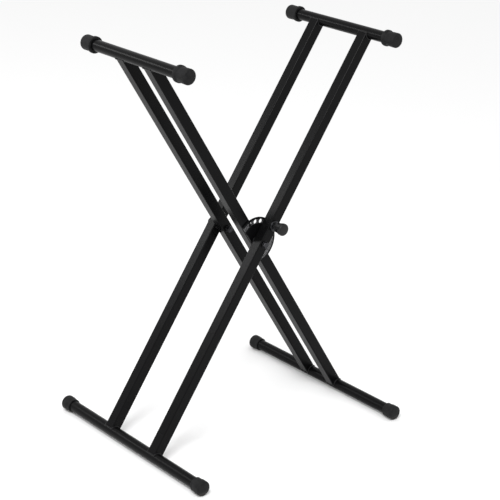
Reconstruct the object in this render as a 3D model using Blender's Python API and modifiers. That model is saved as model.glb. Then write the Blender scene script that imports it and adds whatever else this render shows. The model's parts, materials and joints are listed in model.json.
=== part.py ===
"""Folding double-braced X stand for a keyboard: metres, +Z up, origin on the floor under the pivot."""
import math

import bmesh
import bpy
from mathutils import Vector

# Gap kept between pieces that touch
FIT_GAP = 0.0003

# Scissor geometry: the lock holes are one step apart, counted from half a step off the inner leg
LOCK_STEP = math.radians(19.15)
LOCK_HOLES = 6
OPENING = 3.5 * LOCK_STEP
LEAN = OPENING / 2
PIVOT_TO_BAR = 0.522

# Square leg tubes
LEG_SIZE = 0.025
LEG_WALL = 0.0015
LEG_CORNER = 0.0022
CORNER_POINTS = 4
INNER_LEG_Y = 0.046
LEG_SPACE = 0.0067
OUTER_LEG_Y = INNER_LEG_Y + LEG_SIZE + LEG_SPACE

# Round cross bars: arms on top, feet on the floor
BAR_RADIUS = 0.0127
BAR_WALL = 0.0012
BAR_SIDES = 32
ARM_SPAN = 0.349
FOOT_SPAN = 0.507

# Rubber end caps
CAP_SIDES = 28
CAP_END_WALL = 0.004
CAP_BORE = BAR_RADIUS + FIT_GAP
ARM_CAP_LENGTH = 0.036
ARM_CAP_RADIUS = 0.0168
ARM_CAP_RIM_RADIUS = 0.0182
FOOT_CAP_LENGTH = 0.030
FOOT_CAP_RADIUS = 0.017
FOOT_CAP_MOUTH_RADIUS = 0.0158
FOOT_FLAT_DEPTH = 0.0005
END_ROUNDING = 0.0045
ROUNDING_POINTS = 4

FOOT_BAR_Z = FOOT_CAP_RADIUS - FOOT_FLAT_DEPTH
PIVOT_Z = FOOT_BAR_Z + PIVOT_TO_BAR * math.cos(LEAN)

# Pivot bolts, with washers, spacers and self-locking nuts
BOLT_RADIUS = 0.004
BOLT_LENGTH = 0.070
HEX_FLATS = 0.013
HEAD_HEIGHT = 0.0053
NUT_HEX_HEIGHT = 0.0062
NUT_COLLAR_RADIUS = 0.0056
NUT_COLLAR_HEIGHT = 0.0018
WASHER_RADIUS = 0.008
WASHER_THICKNESS = 0.0016
SPACER_RADIUS = 0.011
BOLT_SIDES = 24
BOLT_HOLE = BOLT_RADIUS + FIT_GAP

# Half-round lock plate on the near inner leg
PLATE_RADIUS = 0.055
PLATE_THICKNESS = 0.003
PLATE_BACK = 0.0115
PLATE_CORNER = 0.003
LOCK_RADIUS = 0.046
LOCK_HOLE_RADIUS = 0.005

# Sprung pull pin through the near outer leg, drawn here in its out position
PIN_TRAVEL = 0.008
NOSE_RADIUS = 0.0046
NOSE_CHAMFER = 0.0008
COLLAR_RADIUS = 0.006
COLLAR_THICKNESS = 0.0025
ROD_RADIUS = 0.003
ROD_IN_KNOB = 0.013
SLEEVE_RADIUS = 0.008
SLEEVE_BORE = 0.0063
FLANGE_RADIUS = 0.012
FLANGE_THICKNESS = 0.004
SHOULDER = 0.0008
KNOB_LENGTH = 0.0224
KNOB_BASE_RADIUS = 0.0112
KNOB_RADIUS = 0.0142
KNOB_SIDES = 32
TURN_SIDES = 24
SPRING_TURNS = 7
SPRING_WIRE = 0.00055
SPRING_RADIUS = 0.0052
POINTS_PER_TURN = 10

# Faces of the near and far legs, measured outwards from the middle of the stand
INNER_FACE_IN = INNER_LEG_Y - LEG_SIZE / 2
INNER_FACE_OUT = INNER_LEG_Y + LEG_SIZE / 2
OUTER_FACE_IN = OUTER_LEG_Y - LEG_SIZE / 2
OUTER_FACE_OUT = OUTER_LEG_Y + LEG_SIZE / 2
PLATE_Y = INNER_FACE_OUT + FIT_GAP

NEAR = -1
FAR = 1
SIDES = {"far": FAR, "near": NEAR}


def clear_scene():
    for obj in list(bpy.data.objects):
        bpy.data.objects.remove(obj, do_unlink=True)


def new_collection(name):
    collection = bpy.data.collections.new(name)
    bpy.context.scene.collection.children.link(collection)
    return collection


def principled(name, colour, roughness, metallic=0.0):
    material = bpy.data.materials.new(name)
    material.use_nodes = True
    shader = material.node_tree.nodes["Principled BSDF"]
    shader.inputs["Base Color"].default_value = (*colour, 1.0)
    shader.inputs["Roughness"].default_value = roughness
    shader.inputs["Metallic"].default_value = metallic
    material.diffuse_color = (*colour, 1.0)
    return material


def frame_empty(name, lean):
    """Empty on the pivot axis whose local Z runs up a leg; tilting it swings the whole frame."""
    empty = bpy.data.objects.new(name, None)
    empty.location = (0.0, 0.0, PIVOT_Z)
    empty.rotation_euler = (0.0, lean, 0.0)
    PARTS.objects.link(empty)
    return empty


def place(obj, material, parent):
    """Link a finished piece, give it its material and hang it on its frame."""
    PARTS.objects.link(obj)
    obj.data.materials.append(material)
    obj.parent = parent
    return obj


def smooth(mesh):
    mesh.shade_smooth()
    mesh.set_sharp_from_angle(angle=math.radians(35))


def rounding(centre, radius, start, stop, points):
    """Points on a round corner, from one angle to another in degrees."""
    angles = [math.radians(start + (stop - start) * i / points) for i in range(points + 1)]
    return [(centre[0] + radius * math.cos(a), centre[1] + radius * math.sin(a)) for a in angles]


def turned(name, profile, sides, closed, position, outwards, lean=0.0):
    """Turn a profile of (radius, height) about an axis that is laid along Y.

    Height grows towards outwards, which is NEAR or FAR. The profile runs down its outer side.
    Facets are centred on the vertical when the frame leans by the given angle.
    """
    start = math.pi / sides
    points = [(r * math.cos(start), r * math.sin(start), h) for r, h in profile]
    edges = [(i, i + 1) for i in range(len(points) - 1)]
    if closed:
        edges.append((len(points) - 1, 0))
    mesh = bpy.data.meshes.new(name)
    mesh.from_pydata(points, edges, [])
    obj = bpy.data.objects.new(name, mesh)
    screw = obj.modifiers.new("turn", "SCREW")
    screw.axis = "Z"
    screw.angle = math.tau
    screw.steps = sides
    screw.render_steps = sides
    screw.use_smooth_shade = True
    screw.use_merge_vertices = True
    screw.merge_threshold = 0.00001
    obj.location = position
    obj.rotation_euler = (-outwards * math.pi / 2, -lean, 0.0)
    return obj


def cutter(name, obj):
    """Keep a body as a cutter only."""
    obj.name = name
    CUTTERS.objects.link(obj)
    obj.hide_render = True
    obj.display_type = "WIRE"
    return obj


def round_cutter(name, radius, low, high, height, parent, sides=BOLT_SIDES):
    """Cylinder along Y from low to high, at a height along the leg."""
    profile = [(0.0, high - low), (radius, high - low), (radius, 0.0), (0.0, 0.0)]
    obj = turned(name, profile, sides, False, (0.0, low, height), FAR)
    obj.parent = parent
    return cutter(name, obj)


def cut(obj, tool, operation="DIFFERENCE"):
    boolean = obj.modifiers.new(tool.name, "BOOLEAN")
    boolean.operation = operation
    boolean.solver = "EXACT"
    boolean.object = tool


def rounded_square(half, corner, points):
    """Corner points of a square outline with round corners, anticlockwise."""
    inset = half - corner
    outline = []
    for quarter in range(4):
        angle = math.pi / 4 + quarter * math.pi / 2
        centre = (math.copysign(inset, math.cos(angle)), math.copysign(inset, math.sin(angle)))
        outline += rounding(centre, corner, quarter * 90, quarter * 90 + 90, points)
    return outline


def circle(centre, radius, sides):
    step = math.tau / sides
    return [(centre[0] + radius * math.cos(i * step), centre[1] + radius * math.sin(i * step))
            for i in range(sides)]


def flat_shape(name, outlines, thickness):
    """Extrude closed outlines, the later ones being holes, into a solid mesh about its middle plane."""
    curve = bpy.data.curves.new(name + "_outline", "CURVE")
    curve.dimensions = "2D"
    curve.fill_mode = "BOTH"
    curve.extrude = thickness / 2
    for outline in outlines:
        spline = curve.splines.new("POLY")
        spline.points.add(len(outline) - 1)
        for point, (x, y) in zip(spline.points, outline):
            point.co = (x, y, 0.0, 1.0)
        spline.use_cyclic_u = True
    guide = bpy.data.objects.new(name + "_guide", curve)
    CUTTERS.objects.link(guide)
    bpy.context.view_layer.update()
    evaluated = guide.evaluated_get(bpy.context.evaluated_depsgraph_get())
    mesh = bpy.data.meshes.new_from_object(evaluated)
    bpy.data.objects.remove(guide, do_unlink=True)
    body = bmesh.new()
    body.from_mesh(mesh)
    bmesh.ops.remove_doubles(body, verts=body.verts, dist=0.00001)
    bmesh.ops.recalc_face_normals(body, faces=body.faces)
    body.to_mesh(mesh)
    body.free()
    mesh.name = name
    return bpy.data.objects.new(name, mesh)


def make_leg(frame, side, y, parent, saddles, bolt_hole):
    """Square tube whose two ends are coped to sit on the round bars."""
    half = LEG_SIZE / 2
    outer = rounded_square(half, LEG_CORNER, CORNER_POINTS)
    inner = rounded_square(half - LEG_WALL, LEG_CORNER - LEG_WALL, 1)
    leg = flat_shape(f"{frame}_leg_{side}", [outer, inner], 2 * PIVOT_TO_BAR)
    leg.location = (0.0, y, 0.0)
    place(leg, PAINT, parent)
    for tool in (*saddles, bolt_hole):
        cut(leg, tool)
    smooth(leg.data)
    return leg


def make_bar(name, span, height, parent, lean):
    """Round cross bar, open at both ends under its caps."""
    length = span - 2 * (CAP_END_WALL + FIT_GAP)
    inner = BAR_RADIUS - BAR_WALL
    profile = [(BAR_RADIUS, length), (BAR_RADIUS, 0.0), (inner, 0.0), (inner, length)]
    bar = turned(name, profile, BAR_SIDES, True, (0.0, -length / 2, height), FAR, lean)
    return place(bar, PAINT, parent)


def arm_cap_profile():
    """Parallel cap with a thick rim at its mouth and a slightly domed end."""
    end = ARM_CAP_LENGTH
    neck = ARM_CAP_RADIUS - 0.0008
    corner = (ARM_CAP_RADIUS - END_ROUNDING, end - 0.0005 - END_ROUNDING)
    outside = [(0.0, end)]
    outside += rounding(corner, END_ROUNDING, 90, 0, ROUNDING_POINTS)
    outside += [(neck, 0.0086), (ARM_CAP_RIM_RADIUS, 0.0066), (ARM_CAP_RIM_RADIUS, 0.0014)]
    outside += [(ARM_CAP_RIM_RADIUS - 0.0014, 0.0)]
    return outside + cap_bore(end)


def foot_cap_profile():
    """Cap that flares from a small mouth bead to its widest near the floor-bearing end."""
    end = FOOT_CAP_LENGTH
    shoulder = end - 0.0005 - END_ROUNDING
    corner = (FOOT_CAP_RADIUS - END_ROUNDING, shoulder)
    outside = [(0.0, end)]
    outside += rounding(corner, END_ROUNDING, 90, 0, ROUNDING_POINTS)
    outside += [(FOOT_CAP_RADIUS, shoulder - 0.010)]
    outside += [(FOOT_CAP_MOUTH_RADIUS - 0.0003, 0.005), (FOOT_CAP_MOUTH_RADIUS, 0.0038)]
    outside += [(FOOT_CAP_MOUTH_RADIUS, 0.0012), (FOOT_CAP_MOUTH_RADIUS - 0.0012, 0.0)]
    return outside + cap_bore(end)


def cap_bore(length):
    return [(CAP_BORE, 0.0), (CAP_BORE, length - CAP_END_WALL), (0.0, length - CAP_END_WALL)]


def make_caps(name, profile, span, length, height, parent, lean):
    caps = []
    for side, outwards in SIDES.items():
        position = (0.0, outwards * (span / 2 - length), height)
        cap = turned(f"{name}_cap_{side}", profile, CAP_SIDES, False, position, outwards, lean)
        caps.append(place(cap, RUBBER, parent))
    return caps


def floor_cutter():
    """Slab under the floor plane; it gives each foot cap its flat bearing patch."""
    depth = 0.02
    bpy.ops.mesh.primitive_cube_add(size=1.0, location=(0.0, 0.0, -depth / 2))
    slab = bpy.context.object
    slab.scale = (1.0, 1.0, depth)
    bpy.ops.object.transform_apply(location=False, rotation=False, scale=True)
    for collection in list(slab.users_collection):
        collection.objects.unlink(slab)
    return cutter("floor_plane", slab)


def make_frame(frame, leg_y, lean, parent):
    """One welded frame: two legs, an arm on top, a foot below, and four caps."""
    saddles = [saddle_cutter(f"{frame}_{bar}_saddle", height, parent)
               for bar, height in (("arm", PIVOT_TO_BAR), ("foot", -PIVOT_TO_BAR))]
    reach = leg_y + LEG_SIZE
    bolt_hole = round_cutter(f"{frame}_bolt_hole", BOLT_HOLE, -reach, reach, 0.0, parent)
    for side, outwards in SIDES.items():
        make_leg(frame, side, outwards * leg_y, parent, saddles, bolt_hole)
    make_bar(f"{frame}_arm", ARM_SPAN, PIVOT_TO_BAR, parent, lean)
    make_bar(f"{frame}_foot", FOOT_SPAN, -PIVOT_TO_BAR, parent, lean)
    make_caps(f"{frame}_arm", arm_cap_profile(), ARM_SPAN, ARM_CAP_LENGTH, PIVOT_TO_BAR, parent, lean)
    feet = make_caps(f"{frame}_foot", foot_cap_profile(), FOOT_SPAN, FOOT_CAP_LENGTH,
                     -PIVOT_TO_BAR, parent, lean)
    for cap in feet:
        cut(cap, FLOOR)


def saddle_cutter(name, height, parent):
    reach = OUTER_FACE_OUT + LEG_SIZE
    return round_cutter(name, BAR_RADIUS + FIT_GAP, -reach, reach, height, parent, BAR_SIDES)


def hex_prism(name, flats, height, position, outwards):
    """Hexagon prism along Y with its first face at position."""
    corner = flats / 2 / math.cos(math.pi / 6)
    profile = [(0.0, height), (corner, height), (corner, 0.0), (0.0, 0.0)]
    return turned(name, profile, 6, False, position, outwards)


def chamfer_cutter(name, flats, height, position, outwards):
    """Turned blank that rounds off a hexagon's outer corners at 30 degrees."""
    corner = flats / 2 / math.cos(math.pi / 6)
    drop = (corner - flats / 2) * math.tan(math.radians(30)) * 2
    profile = [(0.0, height), (flats / 2 - 0.0003, height), (corner + 0.0003, height - drop)]
    profile += [(corner + 0.0003, -0.001), (0.0, -0.001)]
    return cutter(name, turned(name, profile, BOLT_SIDES, False, position, outwards))


def make_bolt(side, outwards, parent):
    """Hexagon bolt with its head outside the outer leg and its shank across to the inner leg."""
    seat = OUTER_FACE_OUT + WASHER_THICKNESS + 2 * FIT_GAP
    name = f"pivot_bolt_{side}"
    bolt = hex_prism(name, HEX_FLATS, HEAD_HEIGHT, (0.0, outwards * seat, 0.0), outwards)
    blank = chamfer_cutter(f"{name}_head_blank", HEX_FLATS, HEAD_HEIGHT,
                           (0.0, outwards * seat, 0.0), outwards)
    start = (0.0, outwards * (seat - BOLT_LENGTH), 0.0)
    tip = BOLT_RADIUS - 0.0007
    buried = BOLT_LENGTH + HEAD_HEIGHT / 2
    profile = [(0.0, buried), (BOLT_RADIUS, buried), (BOLT_RADIUS, 0.0007), (tip, 0.0), (0.0, 0.0)]
    shank = cutter(f"{name}_shank", turned(name, profile, BOLT_SIDES, False, start, outwards))
    place(bolt, BLACKENED, parent)
    for tool, operation in ((blank, "INTERSECT"), (shank, "UNION")):
        tool.parent = parent
        cut(bolt, tool, operation)


def make_nut(side, outwards, parent):
    """Self-locking nut against the inner face of the inner leg, its round collar inwards."""
    seat = INNER_FACE_IN - WASHER_THICKNESS - 2 * FIT_GAP
    name = f"lock_nut_{side}"
    position = (0.0, outwards * seat, 0.0)
    nut = hex_prism(name, HEX_FLATS, NUT_HEX_HEIGHT, position, -outwards)
    blank = chamfer_cutter(f"{name}_blank", HEX_FLATS, NUT_HEX_HEIGHT, position, -outwards)
    top = NUT_HEX_HEIGHT + NUT_COLLAR_HEIGHT
    profile = [(0.0, top), (NUT_COLLAR_RADIUS - 0.0006, top), (NUT_COLLAR_RADIUS, top - 0.0006)]
    profile += [(NUT_COLLAR_RADIUS, NUT_HEX_HEIGHT / 2), (0.0, NUT_HEX_HEIGHT / 2)]
    collar = cutter(f"{name}_collar", turned(name, profile, BOLT_SIDES, False, position, -outwards))
    bore = round_cutter(f"{name}_bore", BOLT_HOLE, -OUTER_LEG_Y, OUTER_LEG_Y, 0.0, parent)
    place(nut, BLACKENED, parent)
    for tool, operation in ((blank, "INTERSECT"), (collar, "UNION"), (bore, "DIFFERENCE")):
        tool.parent = parent
        cut(nut, tool, operation)


def make_ring(name, radius, thickness, low, outwards, material, parent):
    """Flat ring round the pivot bolt with a small chamfer on its rim."""
    edge = 0.0003
    profile = [(radius - edge, thickness), (radius, thickness - edge), (radius, edge)]
    profile += [(radius - edge, 0.0), (BOLT_HOLE, 0.0), (BOLT_HOLE, thickness)]
    ring = turned(name, profile, BOLT_SIDES, True, (0.0, outwards * low, 0.0), outwards)
    return place(ring, material, parent)


def make_pivot(side, outwards, parent):
    """Bolt, nut, two steel washers and the plastic spacer between the legs."""
    make_bolt(side, outwards, parent)
    make_nut(side, outwards, parent)
    head_seat = OUTER_FACE_OUT + FIT_GAP
    nut_seat = INNER_FACE_IN - FIT_GAP - WASHER_THICKNESS
    make_ring(f"head_washer_{side}", WASHER_RADIUS, WASHER_THICKNESS, head_seat, outwards,
              BLACKENED, parent)
    make_ring(f"nut_washer_{side}", WASHER_RADIUS, WASHER_THICKNESS, nut_seat, outwards,
              BLACKENED, parent)
    start = PLATE_Y
    if outwards == NEAR:
        start += PLATE_THICKNESS + FIT_GAP
    thickness = OUTER_FACE_IN - FIT_GAP - start
    make_ring(f"pivot_spacer_{side}", SPACER_RADIUS, thickness, start, outwards, NYLON, parent)


def lock_hole_places():
    """Centres of the lock holes in the plate, counted from the inner leg's own line."""
    angles = [(i + 0.5) * LOCK_STEP for i in range(LOCK_HOLES)]
    return [(LOCK_RADIUS * math.sin(a), LOCK_RADIUS * math.cos(a)) for a in angles]


def plate_outline():
    """Half disc with its straight back along the leg and its two corners rounded."""
    inset = PLATE_BACK - PLATE_CORNER
    reach = math.sqrt((PLATE_RADIUS - PLATE_CORNER) ** 2 - inset ** 2)
    sweep = 90 + math.degrees(math.atan2(inset, reach))
    outline = rounding((0.0, 0.0), PLATE_RADIUS, -sweep, sweep, 40)
    outline += rounding((-inset, reach), PLATE_CORNER, sweep, 180, 3)[1:]
    outline += rounding((-inset, -reach), PLATE_CORNER, 180, 360 - sweep, 3)[:-1]
    return outline


def make_lock_plate(parent):
    """Plate with the ring of lock holes, lying on the near face of the near inner leg."""
    holes = [circle(centre, LOCK_HOLE_RADIUS, 16) for centre in lock_hole_places()]
    holes.append(circle((0.0, 0.0), BOLT_HOLE, BOLT_SIDES))
    plate = flat_shape("lock_plate", [plate_outline(), *holes], PLATE_THICKNESS)
    plate.location = (0.0, -PLATE_Y - PLATE_THICKNESS / 2, 0.0)
    plate.rotation_euler = (math.pi / 2, 0.0, 0.0)
    place(plate, PAINT, parent)
    smooth(plate.data)


def bore_near_outer_leg(parent):
    """Open the near outer leg for the pull pin: a wide hole outside, a guide hole inside."""
    leg = bpy.data.objects["outer_leg_near"]
    middle = -OUTER_LEG_Y
    entry = round_cutter("sleeve_hole", SLEEVE_RADIUS + FIT_GAP, -OUTER_FACE_OUT - 0.01, middle,
                         LOCK_RADIUS, parent)
    guide = round_cutter("nose_hole", NOSE_RADIUS + FIT_GAP, middle, -OUTER_FACE_IN + 0.01,
                         LOCK_RADIUS, parent)
    cut(leg, entry)
    cut(leg, guide)


def make_sleeve(parent):
    """Flanged sleeve that houses the spring inside the leg."""
    inner_end = OUTER_FACE_IN + LEG_WALL + FIT_GAP
    length = OUTER_FACE_OUT + FIT_GAP + FLANGE_THICKNESS - inner_end
    seat = length - FLANGE_THICKNESS
    rod_hole = ROD_RADIUS + FIT_GAP
    shoulder = seat + SHOULDER
    profile = [(FLANGE_RADIUS - 0.001, length), (FLANGE_RADIUS, length - 0.001), (FLANGE_RADIUS, seat)]
    profile += [(SLEEVE_RADIUS, seat), (SLEEVE_RADIUS, 0.0), (SLEEVE_BORE, 0.0)]
    profile += [(SLEEVE_BORE, shoulder), (rod_hole, shoulder), (rod_hole, length)]
    position = (0.0, -inner_end, LOCK_RADIUS)
    return place(turned("pin_sleeve", profile, TURN_SIDES, True, position, NEAR), BLACKENED, parent)


def make_pin(parent):
    """Steel pin: nose, collar that carries the spring, and the rod up into the knob."""
    nose = PIN_TRAVEL
    collar = nose + COLLAR_THICKNESS
    length = pin_length()
    profile = [(0.0, length), (ROD_RADIUS, length), (ROD_RADIUS, collar), (COLLAR_RADIUS, collar)]
    profile += [(COLLAR_RADIUS, nose), (NOSE_RADIUS, nose), (NOSE_RADIUS, NOSE_CHAMFER)]
    profile += [(NOSE_RADIUS - NOSE_CHAMFER, 0.0), (0.0, 0.0)]
    position = (0.0, -pin_tip_y(), LOCK_RADIUS)
    return place(turned("lock_pin", profile, TURN_SIDES, False, position, NEAR), STEEL, parent)


def pin_tip_y():
    """Tip of the nose when the pin is drawn out: inside the leg wall, clear of the plate."""
    return OUTER_FACE_IN + LEG_WALL + FIT_GAP


def knob_base_y():
    return OUTER_FACE_OUT + 2 * FIT_GAP + FLANGE_THICKNESS + PIN_TRAVEL


def pin_length():
    return knob_base_y() + ROD_IN_KNOB - pin_tip_y()


def knob_profile():
    """Waisted grip that widens to a rounded, slightly domed end, with a blind hole for the rod."""
    end = KNOB_LENGTH
    corner = (KNOB_RADIUS - END_ROUNDING, end - 0.0006 - END_ROUNDING)
    bore = ROD_RADIUS + FIT_GAP
    depth = ROD_IN_KNOB + FIT_GAP
    profile = [(0.0, end)]
    profile += rounding(corner, END_ROUNDING, 90, 0, ROUNDING_POINTS)
    profile += [(KNOB_RADIUS - 0.0004, 0.013), (KNOB_BASE_RADIUS + 0.0008, 0.008)]
    profile += [(KNOB_BASE_RADIUS, 0.004), (KNOB_BASE_RADIUS, 0.001), (KNOB_BASE_RADIUS - 0.001, 0.0)]
    return profile + [(bore, 0.0), (bore, depth), (0.0, depth)]


def make_knob(parent):
    position = (0.0, -knob_base_y(), LOCK_RADIUS)
    return place(turned("pull_knob", knob_profile(), KNOB_SIDES, False, position, NEAR), KNOB_PLASTIC,
                 parent)


def make_spring(parent):
    """Compression spring between the pin's collar and the sleeve's shoulder."""
    start = pin_tip_y() + PIN_TRAVEL + COLLAR_THICKNESS + FIT_GAP + SPRING_WIRE
    stop = OUTER_FACE_OUT + SHOULDER - SPRING_WIRE
    pitch = (stop - start) / SPRING_TURNS
    print(f"pin spring: least gap between coils {1000 * (pitch - 2 * SPRING_WIRE):.2f} mm")
    curve = bpy.data.curves.new("pin_spring", "CURVE")
    curve.dimensions = "3D"
    curve.bevel_depth = SPRING_WIRE
    curve.bevel_resolution = 1
    curve.use_fill_caps = True
    spline = curve.splines.new("POLY")
    count = SPRING_TURNS * POINTS_PER_TURN
    spline.points.add(count)
    for i, point in enumerate(spline.points):
        angle = math.tau * i / POINTS_PER_TURN
        rise = start + pitch * i / POINTS_PER_TURN
        point.co = (SPRING_RADIUS * math.cos(angle), -rise, SPRING_RADIUS * math.sin(angle), 1.0)
    spring = bpy.data.objects.new("pin_spring", curve)
    spring.location = (0.0, 0.0, LOCK_RADIUS)
    return place(spring, STEEL, parent)


def pull_pin_empty(parent):
    """Empty on the pin's sliding axis; moving it along Y works the lock."""
    empty = bpy.data.objects.new("pull_pin", None)
    empty.parent = parent
    PARTS.objects.link(empty)
    return empty


def check_reach():
    """The folded lock position must leave the two arms' caps apart."""
    folded = LOCK_STEP / 2
    apart = 2 * PIVOT_TO_BAR * math.sin(folded / 2)
    assert apart > 2 * ARM_CAP_RIM_RADIUS, "the arm caps would meet before the folded lock position"
    tip_in = Vector((0.0, pin_tip_y() - PIN_TRAVEL, 0.0)).length
    assert tip_in > INNER_FACE_OUT, "the nose would reach the inner leg"


clear_scene()
PARTS = new_collection("keyboard_stand")
CUTTERS = new_collection("cutters")

PAINT = principled("black_paint", (0.012, 0.012, 0.013), 0.28)
RUBBER = principled("black_rubber", (0.018, 0.018, 0.019), 0.7)
NYLON = principled("black_nylon", (0.02, 0.02, 0.02), 0.5)
KNOB_PLASTIC = principled("black_plastic", (0.014, 0.014, 0.015), 0.4)
BLACKENED = principled("blackened_steel", (0.03, 0.03, 0.033), 0.4, 0.9)
STEEL = principled("bright_steel", (0.55, 0.55, 0.56), 0.3, 1.0)

FLOOR = floor_cutter()
OUTER_FRAME = frame_empty("outer_frame", LEAN)
INNER_FRAME = frame_empty("inner_frame", -LEAN)

check_reach()
make_frame("outer", OUTER_LEG_Y, LEAN, OUTER_FRAME)
make_frame("inner", INNER_LEG_Y, -LEAN, INNER_FRAME)
make_lock_plate(INNER_FRAME)
for side_name, side_sign in SIDES.items():
    make_pivot(side_name, side_sign, OUTER_FRAME)

bore_near_outer_leg(OUTER_FRAME)
make_sleeve(OUTER_FRAME)
make_spring(OUTER_FRAME)
PULL_PIN = pull_pin_empty(OUTER_FRAME)
make_pin(PULL_PIN)
make_knob(PULL_PIN)
bpy.context.view_layer.update()
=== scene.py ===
"""Looks of the folding keyboard stand: bars, rubber caps, lock, welds, finishes and the studio."""
import json
import math

import bmesh
import bpy
from bpy.props import FloatProperty, FloatVectorProperty, IntProperty, PointerProperty
from mathutils import Matrix, Vector


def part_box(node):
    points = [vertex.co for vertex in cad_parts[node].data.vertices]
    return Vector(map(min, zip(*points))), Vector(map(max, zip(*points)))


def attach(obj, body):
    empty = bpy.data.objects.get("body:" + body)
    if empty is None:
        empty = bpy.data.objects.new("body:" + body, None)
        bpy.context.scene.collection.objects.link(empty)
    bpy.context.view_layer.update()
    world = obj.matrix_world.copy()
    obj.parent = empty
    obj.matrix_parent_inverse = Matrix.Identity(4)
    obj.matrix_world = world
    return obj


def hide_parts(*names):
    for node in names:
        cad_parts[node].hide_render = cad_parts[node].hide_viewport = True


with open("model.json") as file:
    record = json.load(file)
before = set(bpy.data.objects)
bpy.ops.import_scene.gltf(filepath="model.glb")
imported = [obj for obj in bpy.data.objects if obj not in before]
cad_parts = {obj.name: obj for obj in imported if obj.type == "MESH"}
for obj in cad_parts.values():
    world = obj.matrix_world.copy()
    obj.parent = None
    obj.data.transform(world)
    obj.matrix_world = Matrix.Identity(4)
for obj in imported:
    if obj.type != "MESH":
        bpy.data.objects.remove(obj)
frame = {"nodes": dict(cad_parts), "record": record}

bl_info = {
    "name": "Keyboard stand looks",
    "version": (1, 0, 0),
    "blender": (4, 5, 0),
    "location": "View3D > Sidebar > Stand",
    "description": "Builds the finished surfaces of a folding keyboard stand and its studio",
    "category": "Object",
}

# The stand's own measures, in metres
FIT_GAP = 0.0003
LOCK_STEP = math.radians(19.15)
LEAN = 3.5 * LOCK_STEP / 2
PIVOT_TO_BAR = 0.522
FOOT_BAR_Z = 0.0165
PIVOT_Z = FOOT_BAR_Z + PIVOT_TO_BAR * math.cos(LEAN)
LEG_HALF = 0.0125
LEG_WALL = 0.0015
LEG_Y = {"inner": 0.046, "outer": 0.0777}
BAR_RADIUS = 0.0127
BAR_WALL = 0.0012
ARM_SPAN = 0.349
FOOT_SPAN = 0.507

# Rubber caps
CAP_END_WALL = 0.004
CAP_BORE = BAR_RADIUS + FIT_GAP
CAP_DOME = 0.0006
END_ROUNDING = 0.0045
ARM_CAP_LENGTH = 0.036
ARM_CAP_RADIUS = 0.0168
ARM_CAP_NECK_RADIUS = 0.0161
ARM_CAP_RIM_RADIUS = 0.0182
FOOT_CAP_LENGTH = 0.030
FOOT_CAP_RADIUS = 0.0170
FOOT_CAP_NECK_RADIUS = 0.0155
FOOT_CAP_MOUTH_RADIUS = 0.0158

# Pivot bolts and the things on them
BOLT_RADIUS = 0.004
BOLT_HOLE = BOLT_RADIUS + FIT_GAP
THREAD_PITCH = 0.00125
THREAD_END_Y = 0.034
WASHER_RADIUS = 0.008
SPACER_RADIUS = 0.011

# Lock: plate, sprung pin and knob
LOCK_RADIUS = 0.046
LOCK_HOLE_RADIUS = 0.005
PLATE_BACK = 0.0115
PLATE_THICKNESS = 0.003
PLATE_FAR_Y = -(LEG_Y["inner"] + LEG_HALF + FIT_GAP)
PLATE_NEAR_Y = PLATE_FAR_Y - PLATE_THICKNESS
PIN_TRAVEL = 0.008
ROD_RADIUS = 0.003
ROD_HOLE = ROD_RADIUS + FIT_GAP
SLEEVE_RADIUS = 0.008
SLEEVE_BORE = 0.0063
FLANGE_RADIUS = 0.012
FLANGE_THICKNESS = 0.004
SHOULDER = 0.0008
LEG_FACE_OUT = LEG_Y["outer"] + LEG_HALF
SLEEVE_END_Y = LEG_Y["outer"] - LEG_HALF + LEG_WALL + FIT_GAP
KNOB_BASE_Y = LEG_FACE_OUT + 2 * FIT_GAP + FLANGE_THICKNESS + PIN_TRAVEL
KNOB_LENGTH = 0.0224
KNOB_RADIUS = 0.0142
KNOB_BASE_RADIUS = 0.0112
KNOB_BORE_DEPTH = 0.0133
KNOB_FLUTES = 18
FLUTES_START, FLUTES_FADE_IN = 0.006, 0.004
FLUTES_END, FLUTES_FADE_OUT = 0.0195, 0.002
FLUTED_BEYOND = 0.0095

# Weld beads round the legs' ends, and three stitches along the plate's back
JOINT_INSET = 0.0004
BEAD_PITCH = 0.0021
BEAD_SIDES = 10
STITCH_STARTS = (-0.044, -0.009, 0.026)
STITCH_LENGTH = 0.018
STITCH_RADIUS = 0.0009
STITCH_PITCH = 0.0018

# Segments round the small turned pieces
KNOB_SEGMENTS = 8 * KNOB_FLUTES
SLEEVE_SEGMENTS = 96
RING_SEGMENTS = 72

NEAR, FAR = -1, 1
SIDES = {"far": FAR, "near": NEAR}
FRAMES = ("outer", "inner")

# Round caps stay within the flats of the solid model's caps
SOLID_CAP_SIDES = 28
CAP_SHRINK = math.cos(math.pi / SOLID_CAP_SIDES)

# The photo's camera
CAMERA_PLACE = (-2.0683, -2.3704, 1.6218)
CAMERA_YAW, CAMERA_PITCH, CAMERA_ROLL = (math.radians(a) for a in (41.6307, -20.8411, 2.2749))
CAMERA_LENS = 108.29
CAMERA_SHIFT = (-0.0005, -0.0103)

# The studio; a lamp has its place, what it points at, its width and its height
KEY_LAMP = ((-1.7, -1.2, 3.0), (0.0, 0.0, 0.4), 1.3, 0.9)
BACK_LAMP = ((-1.9, 2.35, 1.95), (0.0, 0.0, 0.5), 0.7, 0.6)
FLOOR_DROP = 0.0002
WHITE = (1.0, 1.0, 1.0, 1.0)

# Plain shades of two finishes, for a viewport that doesn't draw their nodes
PLAIN_PAINT = (0.012, 0.012, 0.013)
PLAIN_RUBBER = (0.018, 0.018, 0.019)

FINISHES = {}


def frame_matrix(name):
    """From a frame's own axes, with Z up its legs and the pivot at zero, to the row frame."""
    lean = LEAN if name == "outer" else -LEAN
    return Matrix.Translation((0.0, 0.0, PIVOT_Z)) @ Matrix.Rotation(lean, 4, "Y")


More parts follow.
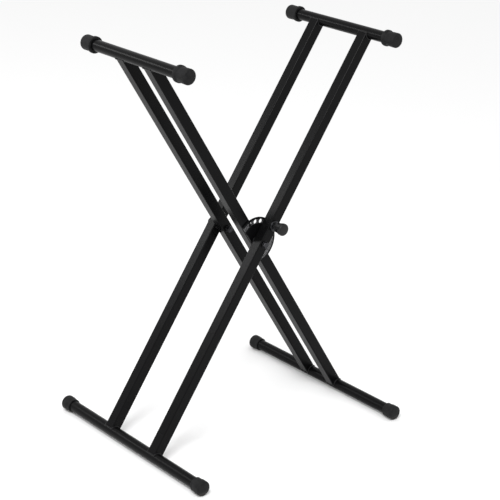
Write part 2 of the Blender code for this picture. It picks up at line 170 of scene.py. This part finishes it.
def along_y(name, y, height, outwards):
    """Matrix that lays a turned piece's axis along Y, its height growing outwards."""
    turn = Matrix.Rotation(-outwards * math.pi / 2, 4, "X")
    return frame_matrix(name) @ Matrix.Translation((0.0, y, height)) @ turn


def filleted(corners, points=5):
    """Profile of (radius, height, fillet) corners with each fillet drawn as an arc."""
    profile = []
    for i, (radius, height, fillet) in enumerate(corners):
        here = Vector((radius, height))
        if fillet <= 0.0 or i in (0, len(corners) - 1):
            profile.append(here)
            continue
        before = (Vector(corners[i - 1][:2]) - here).normalized()
        after = (Vector(corners[i + 1][:2]) - here).normalized()
        half = before.angle(after) / 2
        reach = fillet / math.tan(half)
        centre = here + (before + after).normalized() * (fillet / math.sin(half))
        start = here + before * reach - centre
        stop = here + after * reach - centre
        swing = start.angle_signed(stop)
        for k in range(points + 1):
            profile.append(centre + Matrix.Rotation(-swing * k / points, 2) @ start)
    return profile


def spun(profile, segments, closed=False):
    """Spin a profile of (radius, height) round Z into a closed body."""
    body = bmesh.new()
    verts = [body.verts.new((max(p[0], 0.0), 0.0, p[1])) for p in profile]
    edges = [body.edges.new(pair) for pair in zip(verts, verts[1:])]
    if closed:
        edges.append(body.edges.new((verts[-1], verts[0])))
    bmesh.ops.spin(body, geom=verts + edges, cent=(0, 0, 0), axis=(0, 0, 1), dvec=(0, 0, 0),
                   angle=math.tau, steps=segments, use_merge=True, use_duplicate=False)
    bmesh.ops.remove_doubles(body, verts=body.verts, dist=0.000002)
    bmesh.ops.recalc_face_normals(body, faces=body.faces)
    return body


def move_to(body, matrix):
    bmesh.ops.transform(body, verts=body.verts, matrix=matrix)


def finished(body, name, rides_on, slot, nodes=(), crease=32.0, material=None):
    """Turn a body in the row frame into an object that rides on a CAD body."""
    mesh = bpy.data.meshes.new(name)
    body.to_mesh(mesh)
    body.free()
    mesh.shade_smooth()
    mesh.set_sharp_from_angle(angle=math.radians(crease))
    mesh.materials.append(material or finish_of(slot))
    obj = bpy.data.objects.new(name, mesh)
    bpy.context.scene.collection.objects.link(obj)
    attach(obj, rides_on)
    if nodes:
        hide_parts(*nodes)


class Wire:
    """A node's output; arithmetic on it adds Math nodes."""

    def __init__(self, nodes, output):
        self.nodes = nodes
        self.output = output

    def math(self, operation, *others, clamp=False):
        return self.nodes.math(operation, self, *others, clamp=clamp)

    def __add__(self, other):
        return self.math("ADD", other)

    def __sub__(self, other):
        return self.math("SUBTRACT", other)

    def __rsub__(self, other):
        return self.nodes.math("SUBTRACT", other, self)

    def __mul__(self, other):
        return self.math("MULTIPLY", other)

    def __truediv__(self, other):
        return self.math("DIVIDE", other)

    def __rtruediv__(self, other):
        return self.nodes.math("DIVIDE", other, self)

    __radd__ = __add__
    __rmul__ = __mul__

    def above(self, low, high):
        """Rises from 0 at low to 1 at high."""
        return (self - low).math("DIVIDE", high - low, clamp=True)


class Nodes:
    """A node tree and the nodes added to it."""

    def __init__(self, tree):
        self.tree = tree

    def add(self, kind, output, inputs=None, **settings):
        """Add a node with its settings and its sockets' values or links; gives one of its outputs."""
        node = self.tree.nodes.new(kind)
        for key, value in settings.items():
            setattr(node, key, value)
        for key, value in (inputs or {}).items():
            self.feed(node.inputs[key], value)
        return Wire(self, node.outputs[output])

    def feed(self, socket, value):
        if isinstance(value, Wire):
            self.tree.links.new(value.output, socket)
        else:
            socket.default_value = value

    def math(self, operation, *values, clamp=False):
        inputs = dict(enumerate(values))
        return self.add("ShaderNodeMath", 0, inputs, operation=operation, use_clamp=clamp)


class Graph(Nodes):
    """A material whose patterns lie on the object's own coordinates."""

    def __init__(self, name, plain_shade):
        self.material = bpy.data.materials.new(name)
        self.material.use_nodes = True
        self.material.diffuse_color = (*plain_shade, 1.0)
        super().__init__(self.material.node_tree)
        self.shader = self.tree.nodes["Principled BSDF"]
        self.place = self.add("ShaderNodeTexCoord", "Object")

    def noise(self, scale, detail=3.0, roughness=0.5, stretch=None):
        """Noise; stretch draws it out along the axes whose factor is below 1."""
        place = self.place
        if stretch:
            place = self.add("ShaderNodeVectorMath", 0, {0: place, 1: stretch}, operation="MULTIPLY")
        values = {"Vector": place, "Scale": scale, "Detail": detail, "Roughness": roughness}
        return self.add("ShaderNodeTexNoise", 0, values)

    def axis(self, letter):
        return self.add("ShaderNodeSeparateXYZ", letter, {0: self.place})

    def from_pivot(self):
        """Distance from the pivot bolts' axis."""
        x, rise = self.axis("X"), self.axis("Z") - PIVOT_Z
        return (x * x + rise * rise).math("SQRT")

    def mix(self, factor, first, second):
        """Mixes two colours; sockets 6 and 7 are the Mix node's colours."""
        values = {"Factor": factor}
        for socket, colour in ((6, first), (7, second)):
            values[socket] = colour if isinstance(colour, Wire) else (*colour, 1.0)
        return self.add("ShaderNodeMix", 2, values, data_type="RGBA")

    def set(self, **inputs):
        for key, value in inputs.items():
            self.feed(self.shader.inputs[key.replace("_", " ")], value)

    def bump(self, height, distance, strength):
        values = {"Height": height, "Distance": distance, "Strength": strength}
        self.set(Normal=self.add("ShaderNodeBump", "Normal", values))


def powder_coat(colours):
    """Black powder coat: orange peel, soft handling marks, and the pin's rub marks on the plate."""
    g = Graph("black_powder_coat", PLAIN_PAINT)
    off_track = (g.from_pivot() - LOCK_RADIUS).math("ABSOLUTE")
    track = off_track.above(LOCK_HOLE_RADIUS + 0.0002, LOCK_HOLE_RADIUS - 0.0012)
    y = g.axis("Y")
    on_plate = y.above(PLATE_NEAR_Y - 0.0007, PLATE_NEAR_Y - 0.0002)
    on_plate = on_plate * y.above(PLATE_FAR_Y + 0.0004, PLATE_FAR_Y - 0.0002)
    rubbed = track * on_plate * g.noise(900.0, 2.0).above(0.42, 0.62)
    scuffs = g.noise(260.0, 4.0, stretch=(1.0, 1.0, 0.18)).above(0.68, 0.78)
    haze = g.noise(14.0, 4.0)
    coat = g.mix(haze, colours.paint_dark, colours.paint_pale)
    marked = g.mix(0.5 * scuffs, coat, colours.paint_scuffed)
    g.set(Base_Color=g.mix(rubbed, marked, colours.paint_rubbed), Metallic=0.9 * rubbed)
    g.set(Roughness=0.22 + 0.10 * haze + 0.14 * scuffs + 0.1 * rubbed)
    g.set(Specular_IOR_Level=0.07)
    g.bump(g.noise(620.0, 2.0), 0.00002, 0.45)
    return g.material


def painted_weld(colours):
    """Weld beads under the same powder coat, which lies rougher on them."""
    g = Graph("painted_weld", PLAIN_PAINT)
    grain = g.noise(900.0)
    g.set(Base_Color=g.mix(grain, colours.weld_dark, colours.weld_pale))
    g.set(Roughness=0.28 + 0.18 * grain, Specular_IOR_Level=0.2)
    g.bump(grain, 0.00004, 0.5)
    return g.material


def cap_rubber(colours):
    """Matte moulded rubber, mottled by handling, dusty where it meets the floor."""
    g = Graph("moulded_rubber", PLAIN_RUBBER)
    mottle = g.noise(120.0, 5.0, 0.6)
    dust = g.axis("Z").above(0.012, 0.001) * g.noise(420.0, 4.0).above(0.40, 0.66)
    rubber = g.mix(mottle.above(0.35, 0.7), colours.rubber_dark, colours.rubber_pale)
    g.set(Base_Color=g.mix(0.6 * dust, rubber, colours.floor_dust))
    g.set(Roughness=0.5 + 0.22 * mottle + 0.12 * dust, Specular_IOR_Level=0.16)
    g.bump(g.noise(1500.0) + 0.6 * g.noise(380.0, 2.0), 0.00003, 0.5)
    return g.material


def plastic(name, colour, roughness, grain_scale):
    """Satin moulded plastic with a fine spark-eroded grain, paler where it is handled."""
    g = Graph(name, colour)
    wear = g.noise(70.0, 4.0)
    handled = tuple(1.9 * c for c in colour)
    g.set(Base_Color=g.mix(wear.above(0.45, 0.8), colour, handled))
    g.set(Roughness=roughness + 0.16 * wear, Specular_IOR_Level=0.25)
    g.bump(g.noise(grain_scale), 0.00002, 0.5)
    return g.material


def plated_steel(name, dark, pale, roughness):
    """Zinc plated steel; the bolts' shanks carry a thread on the part that the nut runs on."""
    g = Graph(name, dark)
    y = g.axis("Y")
    shank = g.from_pivot().above(BOLT_RADIUS + 0.00025, BOLT_RADIUS + 0.0001)
    threaded = shank * y.math("ABSOLUTE").above(THREAD_END_Y + 0.0005, THREAD_END_Y)
    thread = 2.0 * (y / THREAD_PITCH).math("PINGPONG", 0.5)
    cloud = g.noise(260.0, 4.0)
    brushed = g.noise(2400.0, 2.0, stretch=(1.0, 0.12, 1.0))
    g.set(Base_Color=g.mix(cloud, dark, pale), Metallic=1.0)
    g.set(Roughness=roughness + 0.16 * brushed + 0.08 * cloud)
    g.bump(0.02 * brushed + thread * threaded, 0.0004, 0.7)
    return g.material


def finish_of(slot):
    """The finish for a slot of the record, made once."""
    colours = bpy.context.scene.stand_colours
    makers = {
        "black_paint": lambda: powder_coat(colours),
        "black_rubber": lambda: cap_rubber(colours),
        "black_nylon": lambda: plastic("nylon", colours.nylon, 0.38, 1400.0),
        "black_plastic": lambda: plastic("knob_plastic", colours.knob_plastic, 0.28, 1900.0),
        "blackened_steel": lambda: plated_steel("blackened_steel", colours.blackened_dark,
                                                colours.blackened_pale, 0.24),
        "bright_steel": lambda: plated_steel("bright_steel", colours.bright_dark,
                                             colours.bright_pale, 0.18),
    }
    if slot not in FINISHES:
        FINISHES[slot] = makers[slot]()
    return FINISHES[slot]


def tint(name, default, description):
    return FloatVectorProperty(name=name, default=default, description=description, size=3,
                               subtype="COLOR", min=0.0, max=1.0)


def length(name, default, least, most, description):
    return FloatProperty(name=name, default=default, min=least, max=most, description=description,
                         subtype="DISTANCE", unit="LENGTH")


class StandSettings(bpy.types.PropertyGroup):
    """How finely the stand's looks are modelled."""

    turn_segments: IntProperty(name="Turn segments", default=112, min=24, max=256,
                               description="Segments round each bar and cap")
    bead_radius: length("Bead radius", 0.0016, 0.0005, 0.004, "Radius of the weld beads at the bars")
    flute_depth: length("Flute depth", 0.0003, 0.0, 0.001, "Depth of the flutes round the pull knob")
    ripple: FloatProperty(name="Bead ripple", default=0.14, min=0.0, max=0.5, subtype="FACTOR",
                          description="How much a weld bead's radius varies along its length")


class StandColours(bpy.types.PropertyGroup):
    """Colours of the stand's finishes."""

    paint_dark: tint("Paint, dark", (0.0022, 0.0022, 0.0024), "Darkest powder coat")
    paint_pale: tint("Paint, pale", (0.0040, 0.0040, 0.0043), "Palest clean powder coat")
    paint_scuffed: tint("Paint, scuffed", (0.014, 0.014, 0.015), "Powder coat under scuffs")
    paint_rubbed: tint("Paint, rubbed", (0.22, 0.22, 0.225), "Steel where the pin rubs the plate")
    weld_dark: tint("Weld, dark", (0.0035, 0.0035, 0.004), "Darkest paint on the welds")
    weld_pale: tint("Weld, pale", (0.008, 0.008, 0.0085), "Palest paint on the welds")
    rubber_dark: tint("Rubber, dark", (0.0035, 0.0035, 0.0038), "Darkest cap rubber")
    rubber_pale: tint("Rubber, pale", (0.0115, 0.0115, 0.0120), "Palest cap rubber")
    floor_dust: tint("Floor dust", (0.16, 0.15, 0.14), "Dust on the foot caps")
    nylon: tint("Nylon", (0.009, 0.009, 0.0095), "Spacers between the legs")
    knob_plastic: tint("Knob plastic", (0.0045, 0.0045, 0.005), "Pull knob")
    blackened_dark: tint("Blackened steel, dark", (0.028, 0.028, 0.031), "Bolts, nuts and washers")
    blackened_pale: tint("Blackened steel, pale", (0.065, 0.066, 0.07), "Bolts, nuts and washers")
    bright_dark: tint("Bright steel, dark", (0.42, 0.42, 0.44), "Pin and spring")
    bright_pale: tint("Bright steel, pale", (0.62, 0.62, 0.62), "Pin and spring")
    floor: tint("Floor", (0.9, 0.9, 0.9), "Plain studio floor")


class StudioSettings(bpy.types.PropertyGroup):
    """Light and floor of the studio."""

    key_power: FloatProperty(name="Key power", default=60.0, min=0.0, max=1000.0, subtype="POWER",
                             unit="POWER", description="Power of the soft light above on the left")
    back_power: FloatProperty(name="Back power", default=12.0, min=0.0, max=1000.0, subtype="POWER",
                              unit="POWER", description="Power of the small light behind on the left")
    sky_strength: FloatProperty(name="Sky strength", default=1.0, min=0.0, max=4.0,
                                description="Even light from all round")
    floor_half: length("Floor half width", 14.0, 1.0, 60.0, "Half the width of the plain floor")


def arm_cap_corners():
    """Parallel cap with a thick rim at its mouth and a slightly domed end."""
    end, radius, rim = ARM_CAP_LENGTH, ARM_CAP_RADIUS * CAP_SHRINK, ARM_CAP_RIM_RADIUS * CAP_SHRINK
    return [(0.0, end, 0), (0.0062, end - CAP_DOME / 4, 0.02), (radius, end - CAP_DOME, END_ROUNDING),
            (ARM_CAP_NECK_RADIUS * CAP_SHRINK, 0.0088, 0.0009), (rim, 0.0068, 0.0011),
            (rim, 0.0, 0.0014), (CAP_BORE, 0.0, 0.0005), (CAP_BORE, end - CAP_END_WALL, 0),
            (0.0, end - CAP_END_WALL, 0)]


def foot_cap_corners():
    """Cap that flares from a small bead at its mouth to its floor-bearing end."""
    end, radius = FOOT_CAP_LENGTH, FOOT_CAP_RADIUS * CAP_SHRINK
    mouth = FOOT_CAP_MOUTH_RADIUS * CAP_SHRINK
    return [(0.0, end, 0), (0.0064, end - CAP_DOME / 4, 0.02), (radius, end - CAP_DOME, END_ROUNDING),
            (radius, end / 2, 0.012), (FOOT_CAP_NECK_RADIUS * CAP_SHRINK, 0.0052, 0.0008),
            (mouth, 0.0040, 0.0008), (mouth, 0.0, 0.0012), (CAP_BORE, 0.0, 0.0004),
            (CAP_BORE, end - CAP_END_WALL, 0), (0.0, end - CAP_END_WALL, 0)]


class STAND_OT_bars(bpy.types.Operator):
    """Build the smooth round arms and feet"""
    bl_idname = "stand.bars"
    bl_label = "Round bars"

    def execute(self, context):
        inner = BAR_RADIUS - BAR_WALL
        kinds = (("arm", ARM_SPAN, PIVOT_TO_BAR), ("foot", FOOT_SPAN, -PIVOT_TO_BAR))
        for name in FRAMES:
            for bar, span, height in kinds:
                tube = span - 2 * (CAP_END_WALL + FIT_GAP)
                profile = [(BAR_RADIUS, tube), (BAR_RADIUS, 0.0), (inner, 0.0), (inner, tube)]
                body = spun(profile, context.scene.stand.turn_segments, closed=True)
                move_to(body, along_y(name, -tube / 2, height, FAR))
                finished(body, f"{name}_{bar}_tube", f"{name}_frame", "black_paint", [f"{name}_{bar}"])
        return {"FINISHED"}


class STAND_OT_caps(bpy.types.Operator):
    """Build the rubber caps on the arms and feet"""
    bl_idname = "stand.caps"
    bl_label = "Rubber caps"

    def execute(self, context):
        kinds = (("arm", ARM_SPAN, ARM_CAP_LENGTH, PIVOT_TO_BAR, arm_cap_corners()),
                 ("foot", FOOT_SPAN, FOOT_CAP_LENGTH, -PIVOT_TO_BAR, foot_cap_corners()))
        for name in FRAMES:
            for bar, span, depth, height, corners in kinds:
                for side, outwards in SIDES.items():
                    body = spun(filleted(corners), context.scene.stand.turn_segments)
                    move_to(body, along_y(name, outwards * (span / 2 - depth), height, outwards))
                    if bar == "foot":
                        press_flat(body)
                    node = f"{name}_{bar}_cap_{side}"
                    finished(body, f"{node}_rubber", f"{name}_frame", "black_rubber", [node])
        return {"FINISHED"}


def press_flat(body):
    """Press the lowest part of a foot cap flat against the floor."""
    for vert in body.verts:
        vert.co.z = max(vert.co.z, 0.0)


def knob_corners():
    """Waisted grip that widens to a rounded, slightly domed end, with a blind hole for the rod."""
    return [(0.0, KNOB_LENGTH, 0), (0.005, KNOB_LENGTH - 0.0001, 0.02),
            (KNOB_RADIUS, KNOB_LENGTH - 0.0006, END_ROUNDING), (KNOB_RADIUS - 0.0004, 0.0130, 0.012),
            (KNOB_BASE_RADIUS + 0.0008, 0.0080, 0.008), (KNOB_BASE_RADIUS, 0.0040, 0.006),
            (KNOB_BASE_RADIUS, 0.0, 0.001), (ROD_HOLE, 0.0, 0.0002), (ROD_HOLE, KNOB_BORE_DEPTH, 0),
            (0.0, KNOB_BORE_DEPTH, 0)]


def press_flutes(body, depth):
    """Press shallow grip flutes into the knob's side, fading out at both ends."""
    for vert in body.verts:
        radius = math.hypot(vert.co.x, vert.co.y)
        if radius > FLUTED_BEYOND:
            rise = (vert.co.z - FLUTES_START) / FLUTES_FADE_IN
            fall = (FLUTES_END - vert.co.z) / FLUTES_FADE_OUT
            fade = max(0.0, min(1.0, rise, fall))
            wave = 0.5 - 0.5 * math.cos(KNOB_FLUTES * math.atan2(vert.co.y, vert.co.x))
            shrink = 1.0 - depth * fade * wave / radius
            vert.co.x *= shrink
            vert.co.y *= shrink


class STAND_OT_knob(bpy.types.Operator):
    """Build the fluted pull knob"""
    bl_idname = "stand.knob"
    bl_label = "Pull knob"

    def execute(self, context):
        body = spun(filleted(knob_corners(), 8), KNOB_SEGMENTS)
        press_flutes(body, context.scene.stand.flute_depth)
        move_to(body, along_y("outer", -KNOB_BASE_Y, LOCK_RADIUS, NEAR))
        finished(body, "fluted_knob", "pull_pin", "black_plastic", ["pull_knob"], crease=40.0)
        return {"FINISHED"}


class STAND_OT_lock(bpy.types.Operator):
    """Build the flanged sleeve of the pull pin"""
    bl_idname = "stand.lock"
    bl_label = "Pin sleeve"

    def execute(self, context):
        seat = LEG_FACE_OUT + FIT_GAP - SLEEVE_END_Y
        top, shoulder = seat + FLANGE_THICKNESS, seat + SHOULDER
        corners = [(ROD_HOLE, top, 0), (FLANGE_RADIUS, top, 0.0009), (FLANGE_RADIUS, seat, 0.0003),
                   (SLEEVE_RADIUS, seat, 0), (SLEEVE_RADIUS, 0.0, 0.0003), (SLEEVE_BORE, 0.0, 0),
                   (SLEEVE_BORE, shoulder, 0), (ROD_HOLE, shoulder, 0)]
        body = spun(filleted(corners), SLEEVE_SEGMENTS, closed=True)
        move_to(body, along_y("outer", -SLEEVE_END_Y, LOCK_RADIUS, NEAR))
        finished(body, "turned_sleeve", "outer_frame", "blackened_steel", ["pin_sleeve"])
        return {"FINISHED"}


class STAND_OT_pivots(bpy.types.Operator):
    """Build the round washers and spacers on the pivot bolts"""
    bl_idname = "stand.pivots"
    bl_label = "Washers and spacers"

    def execute(self, context):
        rings = (("head_washer", WASHER_RADIUS, 0.0003, "blackened_steel"),
                 ("nut_washer", WASHER_RADIUS, 0.0003, "blackened_steel"),
                 ("pivot_spacer", SPACER_RADIUS, 0.0005, "black_nylon"))
        for kind, radius, fillet, slot in rings:
            for side, outwards in SIDES.items():
                node = f"{kind}_{side}"
                start, stop = sorted(abs(corner.y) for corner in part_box(node))
                thick = stop - start
                corners = [(BOLT_HOLE, thick, 0), (radius, thick, fillet), (radius, 0.0, fillet),
                           (BOLT_HOLE, 0.0, 0)]
                body = spun(filleted(corners), RING_SEGMENTS, closed=True)
                move_to(body, along_y("outer", outwards * start, 0.0, outwards))
                finished(body, f"{node}_turned", "outer_frame", slot, [node])
        return {"FINISHED"}


def bead(body, path, radius, ripple, pitch, closed):
    """Weld bead along a path: circles set square to it and bridged, its radius rippling."""
    count = len(path)
    loops = []
    run = 0.0
    for i, point in enumerate(path):
        before = path[i - 1] if closed or i else path[0]
        after = path[(i + 1) % count] if closed or i < count - 1 else path[-1]
        run += (point - before).length if i else 0.0
        size = radius * (1.0 + ripple * math.cos(math.tau * run / pitch))
        if not closed:
            size *= math.sqrt(max(0.12, 1.0 - (2.0 * i / (count - 1) - 1.0) ** 8))
        turn = (after - before).to_track_quat("Z", "Y").to_matrix().to_4x4()
        made = bmesh.ops.create_circle(body, segments=BEAD_SIDES, radius=size, cap_ends=False,
                                       matrix=Matrix.Translation(point) @ turn)
        loops.append(list(dict.fromkeys(edge for vert in made["verts"] for edge in vert.link_edges)))
    for first, second in zip(loops, loops[1:] + loops[:1] if closed else loops[1:]):
        bmesh.ops.bridge_loops(body, edges=first + second)
    if not closed:
        for loop in (loops[0], loops[-1]):
            bmesh.ops.contextual_create(body, geom=loop)
    bmesh.ops.recalc_face_normals(body, faces=body.faces)


def joint_path(leg_y, height, arc_steps=30, side_steps=14):
    """Closed line round a leg's coped end, where it sits on its bar."""
    towards_pivot = -math.copysign(1.0, height)
    limit = math.asin((LEG_HALF - JOINT_INSET) / BAR_RADIUS)
    radius = BAR_RADIUS + FIT_GAP

    def at(angle, along):
        rise = towards_pivot * radius * math.cos(angle)
        return Vector((radius * math.sin(angle), leg_y + along, height + rise))

    angles = [limit * (2 * i / arc_steps - 1) for i in range(arc_steps + 1)]
    sides = [LEG_HALF * (2 * i / side_steps - 1) for i in range(1, side_steps)]
    path = [at(angle, -LEG_HALF) for angle in angles]
    path += [at(limit, along) for along in sides]
    path += [at(-angle, LEG_HALF) for angle in angles]
    path += [at(-limit, -along) for along in sides]
    return path


def stitch_path(start, steps=22):
    """Short line up the plate's back edge, in the corner that it makes with the leg."""
    return [Vector((-PLATE_BACK - 0.0001, PLATE_FAR_Y - 0.0002, start + STITCH_LENGTH * i / steps))
            for i in range(steps + 1)]


class STAND_OT_welds(bpy.types.Operator):
    """Build the weld beads at the bars and along the lock plate"""
    bl_idname = "stand.welds"
    bl_label = "Weld beads"

    def execute(self, context):
        settings = context.scene.stand
        material = painted_weld(context.scene.stand_colours)
        for name in FRAMES:
            body = bmesh.new()
            for outwards in SIDES.values():
                for height in (PIVOT_TO_BAR, -PIVOT_TO_BAR):
                    bead(body, joint_path(outwards * LEG_Y[name], height), settings.bead_radius,
                         settings.ripple, BEAD_PITCH, True)
            if name == "inner":
                for start in STITCH_STARTS:
                    bead(body, stitch_path(start), STITCH_RADIUS, settings.ripple, STITCH_PITCH, False)
            move_to(body, frame_matrix(name))
            finished(body, f"{name}_welds", f"{name}_frame", "black_paint", crease=60.0,
                     material=material)
        return {"FINISHED"}


class STAND_OT_finishes(bpy.types.Operator):
    """Give every CAD node the finish of its slot"""
    bl_idname = "stand.finishes"
    bl_label = "Finishes"

    def execute(self, context):
        slots = {part["node"]: part["material_slot"] for part in frame["record"]["subparts"]}
        for node, obj in frame["nodes"].items():
            obj.data.materials.clear()
            obj.data.materials.append(finish_of(slots[node]))
        return {"FINISHED"}


def soft_light(name, power, location, target, width, height):
    light = bpy.data.lights.new(name, "AREA")
    light.shape = "RECTANGLE"
    light.energy = power
    light.size = width
    light.size_y = height
    obj = bpy.data.objects.new(name, light)
    obj.location = location
    obj.rotation_euler = (Vector(target) - Vector(location)).to_track_quat("-Z", "Y").to_euler()
    bpy.context.scene.collection.objects.link(obj)


def studio_camera():
    """The photo's camera, found by fitting the stand's outline to the photo."""
    level_ahead = math.cos(CAMERA_PITCH)
    ahead = Vector((math.sin(CAMERA_YAW) * level_ahead, math.cos(CAMERA_YAW) * level_ahead,
                    math.sin(CAMERA_PITCH)))
    level = Vector((math.cos(CAMERA_YAW), -math.sin(CAMERA_YAW), 0.0))
    upright = level.cross(ahead)
    right = level * math.cos(CAMERA_ROLL) + upright * math.sin(CAMERA_ROLL)
    up = upright * math.cos(CAMERA_ROLL) - level * math.sin(CAMERA_ROLL)
    data = bpy.data.cameras.new("photo_camera")
    data.sensor_width = 36.0
    data.lens = CAMERA_LENS
    data.shift_x, data.shift_y = CAMERA_SHIFT
    data.dof.use_dof = False
    camera = bpy.data.objects.new("photo_camera", data)
    matrix = Matrix((right, up, -ahead)).transposed().to_4x4()
    matrix.translation = CAMERA_PLACE
    camera.matrix_world = matrix
    bpy.context.scene.collection.objects.link(camera)
    bpy.context.scene.camera = camera


def studio_sky(strength):
    """Even pale light, and plain white where the camera looks past the floor."""
    world = bpy.data.worlds.new("studio")
    bpy.context.scene.world = world
    world.use_nodes = True
    tree = world.node_tree
    tree.nodes.remove(tree.nodes["Background"])
    nodes = Nodes(tree)
    light = nodes.add("ShaderNodeBackground", 0, {"Color": WHITE, "Strength": strength})
    backdrop = nodes.add("ShaderNodeBackground", 0, {"Color": WHITE, "Strength": 1.0})
    camera_ray = nodes.add("ShaderNodeLightPath", "Is Camera Ray")
    shown = nodes.add("ShaderNodeMixShader", 0, {0: camera_ray, 1: light, 2: backdrop})
    nodes.feed(tree.nodes["World Output"].inputs["Surface"], shown)


def studio_floor(half, shade):
    """Plain matte floor just under the feet."""
    body = bmesh.new()
    bmesh.ops.create_grid(body, x_segments=1, y_segments=1, size=half)
    mesh = bpy.data.meshes.new("studio_floor")
    body.to_mesh(mesh)
    body.free()
    floor = bpy.data.objects.new("studio_floor", mesh)
    floor.location.z = -FLOOR_DROP
    bpy.context.scene.collection.objects.link(floor)
    matte = Graph("pale_floor", shade)
    matte.set(Base_Color=(*shade, 1.0), Roughness=0.9, Specular_IOR_Level=0.0)
    mesh.materials.append(matte.material)


class STAND_OT_studio(bpy.types.Operator):
    """Build the floor, lights, sky and camera"""
    bl_idname = "stand.studio"
    bl_label = "Studio"

    def execute(self, context):
        settings = context.scene.studio
        studio_floor(settings.floor_half, context.scene.stand_colours.floor)
        soft_light("key", settings.key_power, *KEY_LAMP)
        soft_light("back", settings.back_power, *BACK_LAMP)
        studio_sky(settings.sky_strength)
        studio_camera()
        context.scene.view_settings.view_transform = "Standard"
        return {"FINISHED"}


STEPS = ("bars", "caps", "knob", "lock", "pivots", "welds", "finishes", "studio")


class STAND_PT_panel(bpy.types.Panel):
    """Settings and steps of the stand's looks"""
    bl_idname = "STAND_PT_panel"
    bl_label = "Keyboard stand"
    bl_space_type = "VIEW_3D"
    bl_region_type = "UI"
    bl_category = "Stand"

    def draw(self, context):
        layout = self.layout
        for settings in (context.scene.stand, context.scene.stand_colours, context.scene.studio):
            for key in settings.bl_rna.properties.keys():
                if key not in ("rna_type", "name"):
                    layout.prop(settings, key)
        for step in STEPS:
            layout.operator(f"stand.{step}")


CLASSES = (StandSettings, StandColours, StudioSettings, STAND_OT_bars, STAND_OT_caps, STAND_OT_knob,
           STAND_OT_lock, STAND_OT_pivots, STAND_OT_welds, STAND_OT_finishes, STAND_OT_studio,
           STAND_PT_panel)


def register():
    for cls in CLASSES:
        bpy.utils.register_class(cls)
    bpy.types.Scene.stand = PointerProperty(type=StandSettings)
    bpy.types.Scene.stand_colours = PointerProperty(type=StandColours)
    bpy.types.Scene.studio = PointerProperty(type=StudioSettings)


def unregister():
    del bpy.types.Scene.studio
    del bpy.types.Scene.stand_colours
    del bpy.types.Scene.stand
    for cls in reversed(CLASSES):
        bpy.utils.unregister_class(cls)


def main():
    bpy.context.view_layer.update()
    register()
    for step in STEPS:
        getattr(bpy.ops.stand, step)()


if __name__ == "__main__":
    main()
